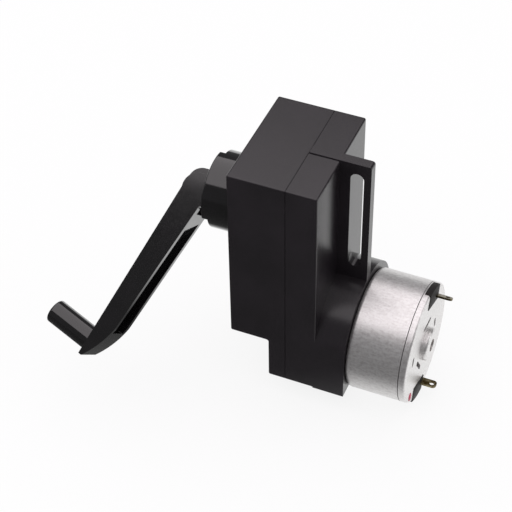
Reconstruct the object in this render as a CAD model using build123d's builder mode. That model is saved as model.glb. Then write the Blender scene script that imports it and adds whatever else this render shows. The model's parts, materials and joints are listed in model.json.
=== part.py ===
"""Hand crank generator: a folding crank drives a small DC motor through three gear stages.

X runs from the crank side to the motor side, Y to the back and Z up.  The origin is on the
crank's axis, in the plane of the case's crank-side face.  All sizes are in millimetres.
"""
from build123d import *
from math import acos, atan2, cos, degrees, hypot, pi, radians, sin, sqrt, tan
import os

os.makedirs("parts", exist_ok=True)

# ---------------------------------------------------------------- driving dimensions
# gear case
case_width = 25.0          # across the flat sides
case_top = 15.4            # top face above the crank axis
case_height = 39.8         # the crank-side part
block_height = 49.4        # the whole case, down to the motor block's bottom
case_depth = 11.6          # from the crank-side face to the seam
cover_depth = 6.1          # from the seam to the cover's face
step_depth = 7.9           # the case is cut back by this much below the crank-side part
block_depth = 6.0          # the motor block's reach beyond the cover's face
wall = 1.2
edge_radius = 0.4
lip_height = 1.0           # the cover's locating lip inside the case
lip_thickness = 0.6
lip_clearance = 0.05
seam_groove = 0.15         # shadow gap where the two shells meet

# slotted lug
lug_thickness = 2.0
lug_reach = 6.0
lug_proud = 0.2            # it stands this far above the top face
lug_corner_radius = 0.6
slot_width = 2.6
slot_length = 22.9
slot_top_margin = 2.3      # from the lug's top to the slot's end
slot_edge_margin = 1.4     # from the lug's outer edge to the slot

# motor
motor_drop = 26.1          # motor axis below the crank axis
motor_diameter = 24.4
motor_length = 12.3
can_wall = 0.8
can_edge_radius = 0.8
motor_ring_width = 1.2     # the motor block's rim round the can
cap_rim_length = 1.4
cap_groove = 0.15
motor_shaft_radius = 1.0
air_gap = 0.3

# crank
hub_radius = 7.7
hub_gap = 0.3              # hub to case
hub_edge_radius = 0.35
hub_front = 7.7            # hub's front face, in front of the case
hub_groove_depth = 1.3     # across the hub's front, for the arm's head
hub_groove_margin = 0.35   # groove to arm, at each side
shaft_radius = 2.5
journal_radius = 2.0       # the shaft's stepped inner end
flat_depth = 0.5
pivot_reach = 10.0         # hinge axis in front of the case
pivot_offset = 1.5         # hinge axis off the crank axis, towards the arm
head_radius = 3.3
tongue_radius = 3.0
tongue_width = 3.8
heel_radius = 2.95         # rounded heel of the tongue, on the side away from the arm
heel_offset = 1.4
heel_reach = 0.2
hinge_gap = 0.3            # round the tongue, inside the arm's fork
arm_width = 7.5
arm_length = 39.3          # hinge axis to tip
arm_back = 3.1             # outer face from the hinge axis, at the head
arm_back_tip = 1.35        # the same at the tip
arm_front = 2.1            # the channel's rim from the hinge axis
arm_tip_thickness = 0.7
tip_curve_length = 8.3
tip_curve_rise = 0.32      # share of the rise at the curve's middle
arm_wall = 1.15
pocket_start = 6.0         # the channel begins with a ramp
pocket_ramp = 4.2
pocket_ramp_depth = 1.4
pocket_depth = 1.9
pocket_run_in = 6.0        # from the ramp's end to the full depth
pocket_end_inset = 6.9     # channel's end from the arm's tip
hinge_pin_radius = 1.0
hinge_pin_cover = 0.8      # the pin stops this far inside the front cheek
hinge_pin_head_radius = 1.35
hinge_pin_head_height = 0.35
knob_inset = 2.9           # knob's axis from the arm's tip
knob_radius = 2.45
knob_length = 10.0
knob_gap = 0.15            # knob to arm
knob_dome = 0.5
knob_wall = 0.9
knob_pin_foot = 0.2        # the pin's inner end, above the hinge axis
knob_pin_radius = 1.0
knob_collar_radius = 1.25
knob_collar_length = 0.8

# pose of the crank in this build
crank_turn = 45.0          # arm turned from straight down towards the front
arm_fold = 20.0            # arm folded out from square to the crank axis

# gears
pressure_angle = 25.0
addendum_share = 0.8       # of the module
dedendum_share = 1.05
backlash = 0.08
coarse_module = 0.5
fine_module = 0.4
drive_teeth = 42
first_pinion_teeth = 12
first_wheel_teeth = 36
second_pinion_teeth = 10
second_wheel_teeth = 30
motor_pinion_teeth = 10
first_axis_y = -2.5        # the first gear's axis off the middle plane
gear_width = 2.6
pinion_overhang = 0.2      # a pinion stands past its wheel by this much at each side
first_plane = 3.7          # where each pair's wheel starts, from the crank-side face
second_plane = 7.4
third_plane = 12.0
web_thickness = 1.3
rim_width = 1.5
gear_hub_radius = 3.0

spacer_radius = 2.4        # between the second gear's pinion and wheel
tooth_foot_share = 0.2     # of the module: how far a tooth is sunk into its root circle
lightening_holes = 6
lightening_margin = 0.7    # from a lightening hole to the hub and the rim

# small fits and fasteners
running_fit = 0.05
slip_fit = 0.02
end_play = 0.3             # at the end of a turning shaft or collar
boss_wall = 1.2
axle_radius = 0.9
axle_boss_gap = 0.2        # axle boss to gear
axle_seat = 0.7            # how far an axle goes into its wall
post_radius = 2.2
screw_radius = 1.0
screw_head_radius = 1.8
screw_head_height = 1.6
screw_head_round = 0.4
screw_head_sink = 0.4      # head below the case's face
screw_length = 13.0
lower_screw_length = 9.0
screw_inset_y = 3.1        # screw axis from the case's side face
upper_screw_inset_z = 3.1  # from the top face
lower_screw_inset_z = 3.1  # from the block's bottom
bush_length = 3.2
bush_wall = 1.5
bush_flange_radius = 4.6
bush_flange_height = 0.4
rear_bush_length = 3.6
rear_bush_wall = 1.3
bush_chamfer = 0.25
shaft_chamfer = 0.3
shoulder_gap = 0.1         # bush to the shaft's inner flat
rib_width = 1.2
ring_radius = 3.4
ring_thickness = 0.6
ring_opening = 3.4
ring_groove_depth = 0.4

# inside the motor
motor_screw_spread = 16.0
motor_screw_head_height = 1.2
motor_screw_reach = 0.4    # past the can's front wall
bearing_boss_radius = 3.1
bearing_boss_height = 1.2
bearing_radius = 2.4
bearing_reach = 0.3        # past the can's front wall
magnet_thickness = 2.1
magnet_gap_front = 1.0
magnet_gap_rear = 1.6
core_inset_front = 1.4     # core shorter than the magnet, at each end
core_inset_rear = 1.6
core_hub_radius = 2.6
pole_width = 2.4
shoe_height = 1.3
shoe_angle = 100.0
coil_width = 6.8
coil_radius_low = 3.6
coil_clearance = 0.1
coil_overhang = 1.2
coil_corner = 1.0
coil_gap = 0.2             # coil to commutator
commutator_radius = 2.3
commutator_end_gap = 1.0
commutator_slot_width = 0.3
commutator_slot_depth = 0.4
motor_shaft_chamfer = 0.2

# the motor's rear
cap_boss_radius = 3.3
cap_boss_height = 1.3
cap_plate = 0.8
cap_edge_radius = 0.5
cap_boss_round = 0.6
cap_boss_lid = 0.4
rear_bearing_radius = 2.3
terminal_angles = (58, 264)
terminal_radius = 9.9
terminal_thickness = 0.4
terminal_width = 1.9
terminal_reach = 3.2
terminal_hole_radius = 0.5
terminal_tip_round = 0.76
window_angles = (71, 251)
window_width = 6.8
window_height = 2.6
vent_width = 0.9
long_vent = 4.4
long_vent_places = ((87, 5.0), (213, 4.6))       # angle and radius
short_vent = 2.2
short_vent_places = ((6, 5.6), (164, 8.1))
holder_thickness = 1.0
holder_recess = 0.2        # the insulator lies this far below the cap's face
holder_opening = 1.6       # commutator to brush holder
brush_length = 1.5
brush_width = 1.4
brush_height = 0.9
spring_thickness = 0.2
spring_length = 5.0

# ---------------------------------------------------------------- worked out
half_width = case_width / 2
seam = case_depth
cover_face = seam + cover_depth
block_face = cover_face + block_depth
case_bottom = case_top - case_height
block_bottom = case_top - block_height
inner_half_width = half_width - wall
can_radius = motor_diameter / 2
can_front = block_face
can_rear = can_front + motor_length
cap_start = can_rear - cap_rim_length
boss_radius = can_radius + motor_ring_width
lug_end = cover_face + lug_reach
lug_top = case_top + lug_proud
slot_centre_x = lug_end - slot_edge_margin - slot_width / 2
slot_top = lug_top - slot_top_margin
slot_centre_z = slot_top - slot_length / 2

motor_axis = (0, -motor_drop)
crank_axis = (0, 0)


def pitch_radius(teeth, module):
    return teeth * module / 2


first_distance = pitch_radius(drive_teeth + first_pinion_teeth, coarse_module)
second_distance = pitch_radius(first_wheel_teeth + second_pinion_teeth, fine_module)
third_distance = pitch_radius(second_wheel_teeth + motor_pinion_teeth, fine_module)
first_axis = (first_axis_y, -sqrt(first_distance**2 - first_axis_y**2))

# the second gear's axis lies where both its centre distances are right
base_y = first_axis[0] - motor_axis[0]
base_z = first_axis[1] - motor_axis[1]
base_length = hypot(base_y, base_z)
along = (third_distance**2 - second_distance**2 + base_length**2) / (2 * base_length)
aside = sqrt(third_distance**2 - along**2)
second_axis = (
    motor_axis[0] + (along * base_y + aside * base_z) / base_length,
    motor_axis[1] + (along * base_z - aside * base_y) / base_length,
)

# directions of the crank: along the arm, out of its back, and along the hinge
turn = radians(crank_turn)
fold = radians(arm_fold)
downstream = Vector(0, -sin(turn), -cos(turn))      # square to the crank axis, towards the arm
hinge_dir = Vector(0, cos(turn), -sin(turn))
axis_dir = Vector(1, 0, 0)
arm_dir = downstream * cos(fold) - axis_dir * sin(fold)
back_dir = axis_dir * -cos(fold) - downstream * sin(fold)
pivot = axis_dir * -pivot_reach + downstream * pivot_offset

side_plane = Plane.XZ                                # local x is X, local y is Z
hub_plane = Plane(origin=(0, 0, 0), x_dir=downstream, z_dir=hinge_dir)
arm_plane = Plane(origin=pivot, x_dir=arm_dir, z_dir=hinge_dir)


def across(x):
    """A plane square to X at x, whose local axes are Y and Z."""
    return Plane(origin=(x, 0, 0), x_dir=(0, 1, 0), z_dir=(1, 0, 0))


def round_axis(axis, x):
    """A plane square to X at x, centred on an axis given by its Y and Z."""
    return Plane(origin=(x, axis[0], axis[1]), x_dir=(0, 1, 0), z_dir=(1, 0, 0))


def direction(start, end):
    return degrees(atan2(end[1] - start[1], end[0] - start[0]))


def save(piece, name):
    piece.part.label = name
    export_step(piece.part, f"parts/{name}.step")
    count = len(piece.part.solids())
    print(f"{name:20s} solids {count}  volume {piece.part.volume:9.2f} mm3")


# ---------------------------------------------------------------- gear teeth
def tooth_outline(teeth, module):
    """One involute tooth along local x, as a sketch that starts inside the root circle."""
    reference = pitch_radius(teeth, module)
    base = reference * cos(radians(pressure_angle))
    root = reference - dedendum_share * module
    tip = reference + addendum_share * module
    half_pitch_angle = pi / (2 * teeth) - backlash / (2 * reference)
    involute = tan(radians(pressure_angle)) - radians(pressure_angle)

    def flank(radius):
        roll = acos(min(1.0, base / radius))
        angle = half_pitch_angle + involute - (tan(roll) - roll)
        return (radius * cos(angle), radius * sin(angle))

    def mirrored(point):
        return (point[0], -point[1])

    start = max(base, root)
    low, middle, high = flank(start), flank((start + tip) / 2), flank(tip)
    foot_radius = root - tooth_foot_share * module
    foot_angle = atan2(low[1], low[0])
    foot = (foot_radius * cos(foot_angle), foot_radius * sin(foot_angle))
    with BuildSketch() as tooth:
        with BuildLine():
            Line(foot, low)
            ThreePointArc(low, middle, high)
            ThreePointArc(high, (tip, 0), mirrored(high))
            ThreePointArc(mirrored(high), mirrored(middle), mirrored(low))
            Line(mirrored(low), mirrored(foot))
            Line(mirrored(foot), foot)
        make_face()
    return tooth.sketch


def gear_outline(teeth, module, phase):
    """A whole gear outline with one tooth centred at the angle phase, in degrees."""
    tooth = tooth_outline(teeth, module)
    with BuildSketch() as outline:
        Circle(pitch_radius(teeth, module) - dedendum_share * module)
        with PolarLocations(0, teeth, start_angle=phase):
            add(tooth)
    return outline.sketch


def toothed_rim(teeth, module, phase, axis, start, width):
    """Extrude a gear outline in the current part, from X start, round a given axis."""
    with BuildSketch(round_axis(axis, start)) as outline:
        add(gear_outline(teeth, module, phase))
    extrude(outline.sketch, amount=width)


def rod(axis, start, end, radius, mode=Mode.ADD):
    """A cylinder along X in the current part."""
    with BuildSketch(round_axis(axis, start)) as section:
        Circle(radius)
    extrude(section.sketch, amount=end - start, mode=mode)


def flatted_rod(axis, start, end, radius, mode=Mode.ADD):
    """A cylinder along X with one flat."""
    with BuildSketch(round_axis(axis, start)) as section:
        Circle(radius)
        with Locations((radius, 0)):
            Rectangle(2 * flat_depth, 2 * radius, mode=Mode.SUBTRACT)
    extrude(section.sketch, amount=end - start, mode=mode)


def web_recess(axis, face, depth, outer, inner):
    """Hollow the side of a gear between its hub and its rim, from X face."""
    with BuildSketch(round_axis(axis, face)) as ring:
        Circle(outer)
        Circle(inner, mode=Mode.SUBTRACT)
    extrude(ring.sketch, amount=depth, mode=Mode.SUBTRACT)


# tooth phases that put each pair in mesh: a tooth of the driver meets a gap of the driven
first_mesh = direction(crank_axis, first_axis)
second_mesh = direction(first_axis, second_axis)
third_mesh = direction(second_axis, motor_axis)


def gap_phase(mesh_angle, teeth):
    return mesh_angle + 180 + 180 / teeth


# ---------------------------------------------------------------- screw places
upper_screws = [(side * (half_width - screw_inset_y), case_top - upper_screw_inset_z) for side in (-1, 1)]
lower_screws = [(side * (half_width - screw_inset_y), block_bottom + lower_screw_inset_z) for side in (-1, 1)]
counterbore_depth = screw_head_height + screw_head_sink
front_bush_radius = shaft_radius + bush_wall
rear_bush_radius = journal_radius + rear_bush_wall
rear_bush_start = cover_face - wall - rear_bush_length
first_plane_end = first_plane + gear_width
second_plane_end = second_plane + gear_width
third_plane_end = third_plane + gear_width
axle_start = wall - axle_seat
axle_end = cover_face - wall + axle_seat

# ---------------------------------------------------------------- main case
with BuildPart() as main_case:
    with BuildSketch(side_plane):
        with BuildLine():
            Polyline(
                (0, case_top),
                (seam - seam_groove, case_top),
                (seam - seam_groove, block_bottom),
                (step_depth, block_bottom),
                (step_depth, case_bottom),
                (0, case_bottom),
                close=True,
            )
        make_face()
    extrude(amount=half_width, both=True)
    seam_edges = main_case.faces().sort_by(Axis.X)[-1].edges()
    outer_edges = [edge for edge in main_case.edges() if edge not in seam_edges]
    fillet(outer_edges, edge_radius)
    # the land that meets the cover, inside the shadow gap
    with BuildSketch(across(seam - seam_groove)):
        with Locations((0, (case_top + block_bottom) / 2)):
            Rectangle(case_width - 2 * seam_groove, block_height - 2 * seam_groove)
    extrude(amount=seam_groove)
    # the hollow, open at the seam
    with BuildSketch(side_plane):
        with BuildLine():
            Polyline(
                (wall, case_top - wall),
                (seam, case_top - wall),
                (seam, block_bottom + wall),
                (step_depth + wall, block_bottom + wall),
                (step_depth + wall, case_bottom + wall),
                (wall, case_bottom + wall),
                close=True,
            )
        make_face()
    extrude(amount=inner_half_width, both=True, mode=Mode.SUBTRACT)
    # boss and bore for the crank's bush
    rod(crank_axis, wall, bush_length - bush_flange_height, front_bush_radius + boss_wall)
    rod(crank_axis, 0, bush_length, front_bush_radius, Mode.SUBTRACT)
    # axle bosses
    rod(first_axis, wall, first_plane - pinion_overhang - axle_boss_gap, axle_radius + boss_wall)
    rod(second_axis, wall, second_plane - pinion_overhang - axle_boss_gap, axle_radius + boss_wall)
    rod(first_axis, axle_start, first_plane, axle_radius, Mode.SUBTRACT)
    rod(second_axis, axle_start, second_plane, axle_radius, Mode.SUBTRACT)
    # screw posts with sunk heads
    for place in upper_screws:
        rod(place, wall, seam, post_radius)
        rod(place, 0, seam, screw_radius + 2 * running_fit, Mode.SUBTRACT)
        rod(place, 0, counterbore_depth, screw_head_radius + 2 * running_fit, Mode.SUBTRACT)
    for place in lower_screws:
        rod(place, step_depth + wall, seam, post_radius)
        rod(place, step_depth, seam, screw_radius + 2 * running_fit, Mode.SUBTRACT)
        counterbore_end = step_depth + counterbore_depth
        rod(place, step_depth, counterbore_end, screw_head_radius + 2 * running_fit, Mode.SUBTRACT)
    # ribs that stiffen the crank's boss
    rib_start = front_bush_radius + boss_wall / 2
    with BuildSketch(across(wall)):
        with Locations((0, (case_top - wall + rib_start) / 2)):
            Rectangle(rib_width, case_top - wall - rib_start)
        for side in (-1, 1):
            with Locations((side * (inner_half_width + rib_start) / 2, 0)):
                Rectangle(inner_half_width - rib_start, rib_width)
    extrude(amount=rib_width)
save(main_case, "main_case")

# ---------------------------------------------------------------- motor cover
def block_outline(x, inset):
    """The motor block's section at x: round above the motor's axis and square below it."""
    with BuildSketch(across(x)) as outline:
        with Locations(motor_axis):
            Circle(boss_radius - inset)
        with Locations((0, (block_bottom + inset - motor_drop) / 2)):
            Rectangle(case_width, -motor_drop - block_bottom - inset)
        with Locations((0, (case_top + block_bottom) / 2)):
            Rectangle(case_width - 2 * inset, block_height - 2 * inset, mode=Mode.INTERSECT)
    return outline.sketch


with BuildPart() as motor_cover:
    with BuildSketch(across(seam)):
        with Locations((0, (case_top + block_bottom) / 2)):
            Rectangle(case_width, block_height)
    extrude(amount=cover_depth)
    seam_edges = motor_cover.faces().sort_by(Axis.X)[0].edges()
    outer_edges = [edge for edge in motor_cover.edges() if edge not in seam_edges]
    fillet(outer_edges, edge_radius)
    # round motor block, cut flush with the case's sides and bottom
    extrude(block_outline(cover_face - edge_radius, 0), amount=edge_radius + block_depth)
    # slotted lug, whose top edge runs on over the cover as a low rib
    with BuildSketch(side_plane):
        with BuildLine():
            Polyline(
                (seam, lug_top),
                (lug_end, lug_top),
                (lug_end, -motor_drop + boss_radius - wall),
                (cover_face - wall, -motor_drop + boss_radius - wall),
                (cover_face - wall, case_top - wall / 2),
                (seam, case_top - wall / 2),
                close=True,
            )
        make_face()
    extrude(amount=lug_thickness / 2, both=True)
    lug_corner = motor_cover.edges().filter_by(Axis.Y).group_by(Axis.X)[-1].sort_by(Axis.Z)[-1]
    fillet(lug_corner, lug_corner_radius)
    with BuildSketch(side_plane):
        with Locations((slot_centre_x, slot_centre_z)):
            SlotOverall(slot_length, slot_width, rotation=90)
    extrude(amount=lug_thickness, both=True, mode=Mode.SUBTRACT)
    # hollow behind the cover's face
    with BuildSketch(across(seam)):
        with Locations((0, (case_top + block_bottom) / 2)):
            Rectangle(2 * inner_half_width, block_height - 2 * wall)
    extrude(amount=cover_depth - wall, mode=Mode.SUBTRACT)
    # hollow inside the motor block
    extrude(block_outline(cover_face - 2 * wall, wall), amount=block_depth + wall, mode=Mode.SUBTRACT)
    # locating lip that enters the case
    with BuildSketch(across(seam - lip_height)):
        with Locations((0, (case_top + block_bottom) / 2)):
            Rectangle(
                2 * (inner_half_width - lip_clearance),
                block_height - 2 * (wall + lip_clearance),
            )
            Rectangle(
                2 * (inner_half_width - lip_clearance - lip_thickness),
                block_height - 2 * (wall + lip_clearance + lip_thickness),
                mode=Mode.SUBTRACT,
            )
        with Locations(upper_screws + lower_screws):
            Circle(post_radius + 2 * lip_clearance, mode=Mode.SUBTRACT)
    extrude(amount=lip_height)
    with BuildSketch(across(seam)):
        with Locations((0, (case_top + block_bottom) / 2)):
            Rectangle(2 * inner_half_width, block_height - 2 * wall)
            Rectangle(
                2 * (inner_half_width - lip_clearance - lip_thickness),
                block_height - 2 * (wall + lip_clearance + lip_thickness),
                mode=Mode.SUBTRACT,
            )
    extrude(amount=lip_height)
    # boss and blind bore for the crank shaft's inner bush
    rod(crank_axis, rear_bush_start, cover_face - wall, rear_bush_radius + boss_wall)
    rod(crank_axis, rear_bush_start, cover_face - wall, rear_bush_radius, Mode.SUBTRACT)
    # axle bosses
    rod(first_axis, second_plane_end + pinion_overhang, cover_face - wall, axle_radius + boss_wall)
    rod(second_axis, third_plane_end + pinion_overhang, block_face - wall, axle_radius + boss_wall)
    rod(first_axis, second_plane_end, axle_end, axle_radius, Mode.SUBTRACT)
    rod(second_axis, third_plane_end, axle_end, axle_radius, Mode.SUBTRACT)
    # screw posts
    for place in upper_screws:
        rod(place, seam, cover_face - wall, post_radius)
        rod(place, seam, screw_length + counterbore_depth + wall / 2, screw_radius + slip_fit, Mode.SUBTRACT)
    lower_end = step_depth + counterbore_depth + lower_screw_length
    for place in lower_screws:
        rod(place, seam, lower_end + wall, post_radius)
        rod(place, seam, lower_end + wall / 2, screw_radius + slip_fit, Mode.SUBTRACT)
    # holes for the motor's bearing boss and its two screws
    rod(motor_axis, block_face - wall, block_face, bearing_boss_radius + 2 * running_fit, Mode.SUBTRACT)
    for side in (-1, 1):
        screw_place = (side * motor_screw_spread / 2, -motor_drop)
        rod(screw_place, block_face - wall, block_face, screw_radius + 2 * running_fit, Mode.SUBTRACT)
save(motor_cover, "motor_cover")

# ---------------------------------------------------------------- case screws
with BuildPart() as case_screws:
    for place in upper_screws:
        head_start = counterbore_depth - screw_head_height
        rod(place, head_start, counterbore_depth, screw_head_radius)
        rod(place, counterbore_depth, counterbore_depth + screw_length, screw_radius)
    for place in lower_screws:
        head_end = step_depth + counterbore_depth
        rod(place, head_end - screw_head_height, head_end, screw_head_radius)
        rod(place, head_end, head_end + lower_screw_length, screw_radius)
    head_rims = case_screws.edges().filter_by(GeomType.CIRCLE).filter_by(
        lambda edge: abs(edge.radius - screw_head_radius) < slip_fit
    )
    fillet([edge for edge in head_rims if edge.center().X % counterbore_depth > slip_fit
            and abs(edge.center().X - head_end) > slip_fit], screw_head_round)
save(case_screws, "case_screws")

# ---------------------------------------------------------------- bushes
with BuildPart() as front_bush:
    rod(crank_axis, 0, bush_length, front_bush_radius)
    rod(crank_axis, bush_length - bush_flange_height, bush_length, bush_flange_radius)
    rod(crank_axis, 0, bush_length, shaft_radius + running_fit, Mode.SUBTRACT)
save(front_bush, "front_bush")

with BuildPart() as rear_bush:
    rod(crank_axis, rear_bush_start, cover_face - wall, rear_bush_radius)
    rod(crank_axis, rear_bush_start, cover_face - wall, journal_radius + running_fit, Mode.SUBTRACT)
    chamfer(rear_bush.edges().group_by(Axis.X)[0], bush_chamfer)
save(rear_bush, "rear_bush")

# ---------------------------------------------------------------- crank shaft and hub
groove_floor = hub_front - hub_groove_depth
hub_seat = groove_floor - wall
flat_start = bush_length + shoulder_gap
flat_end = first_plane_end
ring_start = flat_end
with BuildPart() as crank_shaft:
    flatted_rod(crank_axis, -hub_seat, -hub_gap, shaft_radius)
    rod(crank_axis, -hub_gap, flat_start, shaft_radius)
    flatted_rod(crank_axis, flat_start, flat_end, shaft_radius)
    rod(crank_axis, flat_end, rear_bush_start - running_fit, shaft_radius)
    rod(crank_axis, rear_bush_start - running_fit, cover_face - wall - end_play, journal_radius)
    with BuildSketch(across(ring_start)):
        Circle(shaft_radius + wall)
        Circle(shaft_radius - ring_groove_depth, mode=Mode.SUBTRACT)
    extrude(amount=ring_thickness, mode=Mode.SUBTRACT)
    chamfer(crank_shaft.edges().group_by(Axis.X)[-1], shaft_chamfer)
save(crank_shaft, "crank_shaft")

with BuildPart() as retaining_ring:
    with BuildSketch(across(ring_start)):
        Circle(ring_radius)
        Circle(shaft_radius - ring_groove_depth, mode=Mode.SUBTRACT)
        with Locations((ring_radius / 2, 0)):
            Rectangle(ring_radius + wall, ring_opening, mode=Mode.SUBTRACT)
    extrude(amount=ring_thickness)
save(retaining_ring, "retaining_ring")

slot_radius = hypot(heel_offset, heel_reach) + heel_radius + hinge_gap
with BuildPart() as crank_hub:
    rod(crank_axis, -hub_front, -hub_gap, hub_radius)
    fillet(crank_hub.edges().group_by(Axis.X)[0], hub_edge_radius)
    fillet(crank_hub.edges().group_by(Axis.X)[-1], hub_edge_radius)
    # groove across the front, in which the arm's head swings
    groove_width = arm_width + 2 * hub_groove_margin
    with BuildSketch(hub_plane.offset(-groove_width / 2)):
        with Locations((0, hub_front)):
            Rectangle(3 * hub_radius, 2 * hub_groove_depth)
    extrude(amount=groove_width, mode=Mode.SUBTRACT)
    # hinge tongue: a round nose about the hinge axis and a rounded heel
    with BuildSketch(hub_plane.offset(-tongue_width / 2)):
        with Locations((pivot_offset, pivot_reach)):
            Circle(tongue_radius)
        with Locations((pivot_offset - heel_offset, pivot_reach + heel_reach)):
            Circle(heel_radius)
        make_hull()
        tongue_low = pivot_offset - heel_offset - heel_radius
        tongue_high = pivot_offset + tongue_radius
        tongue_root = groove_floor - wall
        with Locations(((tongue_low + tongue_high) / 2, (pivot_reach + tongue_root) / 2)):
            Rectangle(tongue_high - tongue_low, pivot_reach - tongue_root)
        with Locations((pivot_offset, pivot_reach)):
            Circle(slot_radius - hinge_gap, mode=Mode.INTERSECT)
    extrude(amount=tongue_width)
    with BuildSketch(arm_plane.offset(-tongue_width)):
        Circle(hinge_pin_radius)
    extrude(amount=2 * tongue_width, mode=Mode.SUBTRACT)
    flatted_rod(crank_axis, -hub_seat, -hub_gap, shaft_radius, Mode.SUBTRACT)
save(crank_hub, "crank_hub")

with BuildPart() as hinge_pin:
    with BuildSketch(arm_plane.offset(hinge_pin_cover - arm_width / 2)):
        Circle(hinge_pin_radius)
    extrude(amount=arm_width - hinge_pin_cover)
    with BuildSketch(arm_plane.offset(arm_width / 2 - hinge_pin_head_height)):
        Circle(hinge_pin_head_radius)
    extrude(amount=hinge_pin_head_height)
save(hinge_pin, "hinge_pin")

# ---------------------------------------------------------------- crank arm
def back_line(u):
    """Height of the arm's outer face above the hinge axis, at u along the arm."""
    return arm_back + (arm_back_tip - arm_back) * u / arm_length


knob_position = arm_length - knob_inset
knob_foot = pivot + arm_dir * knob_position


def knob_plane(height):
    """A plane square to the knob's axis, at a height above the arm's middle line."""
    return Plane(origin=knob_foot + back_dir * height, x_dir=arm_dir, z_dir=back_dir)


tip_start = arm_length - tip_curve_length
tip_low = back_line(arm_length) - arm_tip_thickness
slot_half_width = tongue_width / 2 + 2 * running_fit
with BuildPart() as crank_arm:
    with BuildSketch(arm_plane.offset(-arm_width / 2)):
        with BuildLine():
            Line((0, back_line(0)), (arm_length, back_line(arm_length)))
            Line((arm_length, back_line(arm_length)), (arm_length, tip_low))
            tip_middle = (
                tip_start + tip_curve_length / 2,
                -arm_front + tip_curve_rise * (tip_low + arm_front),
            )
            ThreePointArc((arm_length, tip_low), tip_middle, (tip_start, -arm_front))
            Line((tip_start, -arm_front), (0, -arm_front))
            Line((0, -arm_front), (0, back_line(0)))
        make_face()
        Circle(head_radius)
    extrude(amount=arm_width)
    # channel along the front, with a ramp at its start
    rim = -arm_front
    ramp_end = pocket_start + pocket_ramp
    pocket_end = arm_length - pocket_end_inset
    half_channel = arm_width / 2 - arm_wall
    with BuildSketch(arm_plane.offset(-half_channel)):
        with BuildLine():
            Polyline(
                (pocket_start, rim),
                (ramp_end, rim + pocket_ramp_depth),
                (ramp_end + pocket_run_in, rim + pocket_depth),
                (pocket_end, rim + pocket_depth),
                (pocket_end, rim - wall),
                (pocket_start, rim - wall),
                close=True,
            )
        make_face()
    extrude(amount=2 * half_channel, mode=Mode.SUBTRACT)
    # slot for the hub's tongue, and the hinge hole, blind in the front cheek
    with BuildSketch(arm_plane.offset(-slot_half_width)):
        Circle(slot_radius)
    extrude(amount=2 * slot_half_width, mode=Mode.SUBTRACT)
    with BuildSketch(arm_plane.offset(hinge_pin_cover - running_fit - arm_width / 2)):
        Circle(hinge_pin_radius + running_fit)
    extrude(amount=arm_width, mode=Mode.SUBTRACT)
    with BuildSketch(arm_plane.offset(arm_width / 2 - hinge_pin_head_height - running_fit)):
        Circle(hinge_pin_head_radius + running_fit)
    extrude(amount=wall, mode=Mode.SUBTRACT)
    # blind hole for the knob's pin
    with BuildSketch(knob_plane(knob_pin_foot)):
        Circle(knob_pin_radius)
    extrude(amount=arm_back, mode=Mode.SUBTRACT)
save(crank_arm, "crank_arm")

# ---------------------------------------------------------------- knob and its pin
knob_base = back_line(knob_position) + knob_gap
knob_bore_depth = knob_length - knob_wall
collar_end = knob_base + knob_bore_depth - end_play

with BuildPart() as knob_pin:
    with BuildSketch(knob_plane(knob_pin_foot)):
        Circle(knob_pin_radius)
    extrude(amount=collar_end - knob_pin_foot)
    with BuildSketch(knob_plane(collar_end - knob_collar_length)):
        Circle(knob_collar_radius)
    extrude(amount=knob_collar_length)
save(knob_pin, "knob_pin")

with BuildPart() as crank_knob:
    with BuildSketch(knob_plane(knob_base)):
        Circle(knob_radius)
    extrude(amount=knob_length)
    knob_end = crank_knob.faces().sort_by(Axis(knob_foot, back_dir))[-1]
    fillet(knob_end.edges(), knob_dome)
    with BuildSketch(knob_plane(knob_base)):
        Circle(knob_pin_radius + running_fit)
    extrude(amount=knob_bore_depth, mode=Mode.SUBTRACT)
    with BuildSketch(knob_plane(collar_end - knob_collar_length - running_fit)):
        Circle(knob_collar_radius + running_fit)
    extrude(amount=knob_collar_length + end_play + running_fit, mode=Mode.SUBTRACT)
save(crank_knob, "crank_knob")

# ---------------------------------------------------------------- gears
with BuildPart() as drive_gear:
    toothed_rim(drive_teeth, coarse_module, first_mesh, crank_axis, first_plane, gear_width)
    root = pitch_radius(drive_teeth, coarse_module) - dedendum_share * coarse_module
    recess = (gear_width - web_thickness) / 2
    hub = shaft_radius + rim_width
    web_recess(crank_axis, first_plane, recess, root - rim_width, hub)
    web_recess(crank_axis, first_plane_end, -recess, root - rim_width, hub)
    flatted_rod(crank_axis, first_plane, first_plane_end, shaft_radius, Mode.SUBTRACT)
    hole_ring = (root - rim_width + hub) / 2
    with BuildSketch(across(first_plane)):
        with PolarLocations(hole_ring, lightening_holes):
            Circle((root - rim_width - hub) / 2 - lightening_margin)
    extrude(amount=gear_width, mode=Mode.SUBTRACT)
save(drive_gear, "drive_gear")

with BuildPart() as first_gear:
    phase = gap_phase(first_mesh, first_pinion_teeth)
    pinion_start = first_plane - pinion_overhang
    pinion_length = second_plane - pinion_start
    toothed_rim(first_pinion_teeth, coarse_module, phase, first_axis, pinion_start, pinion_length)
    toothed_rim(first_wheel_teeth, fine_module, second_mesh, first_axis, second_plane, gear_width)
    root = pitch_radius(first_wheel_teeth, fine_module) - dedendum_share * fine_module
    recess = gear_width - web_thickness
    web_recess(first_axis, second_plane_end, -recess, root - rim_width, gear_hub_radius)
    rod(first_axis, pinion_start, second_plane_end, axle_radius + running_fit, Mode.SUBTRACT)
save(first_gear, "first_gear")

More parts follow.
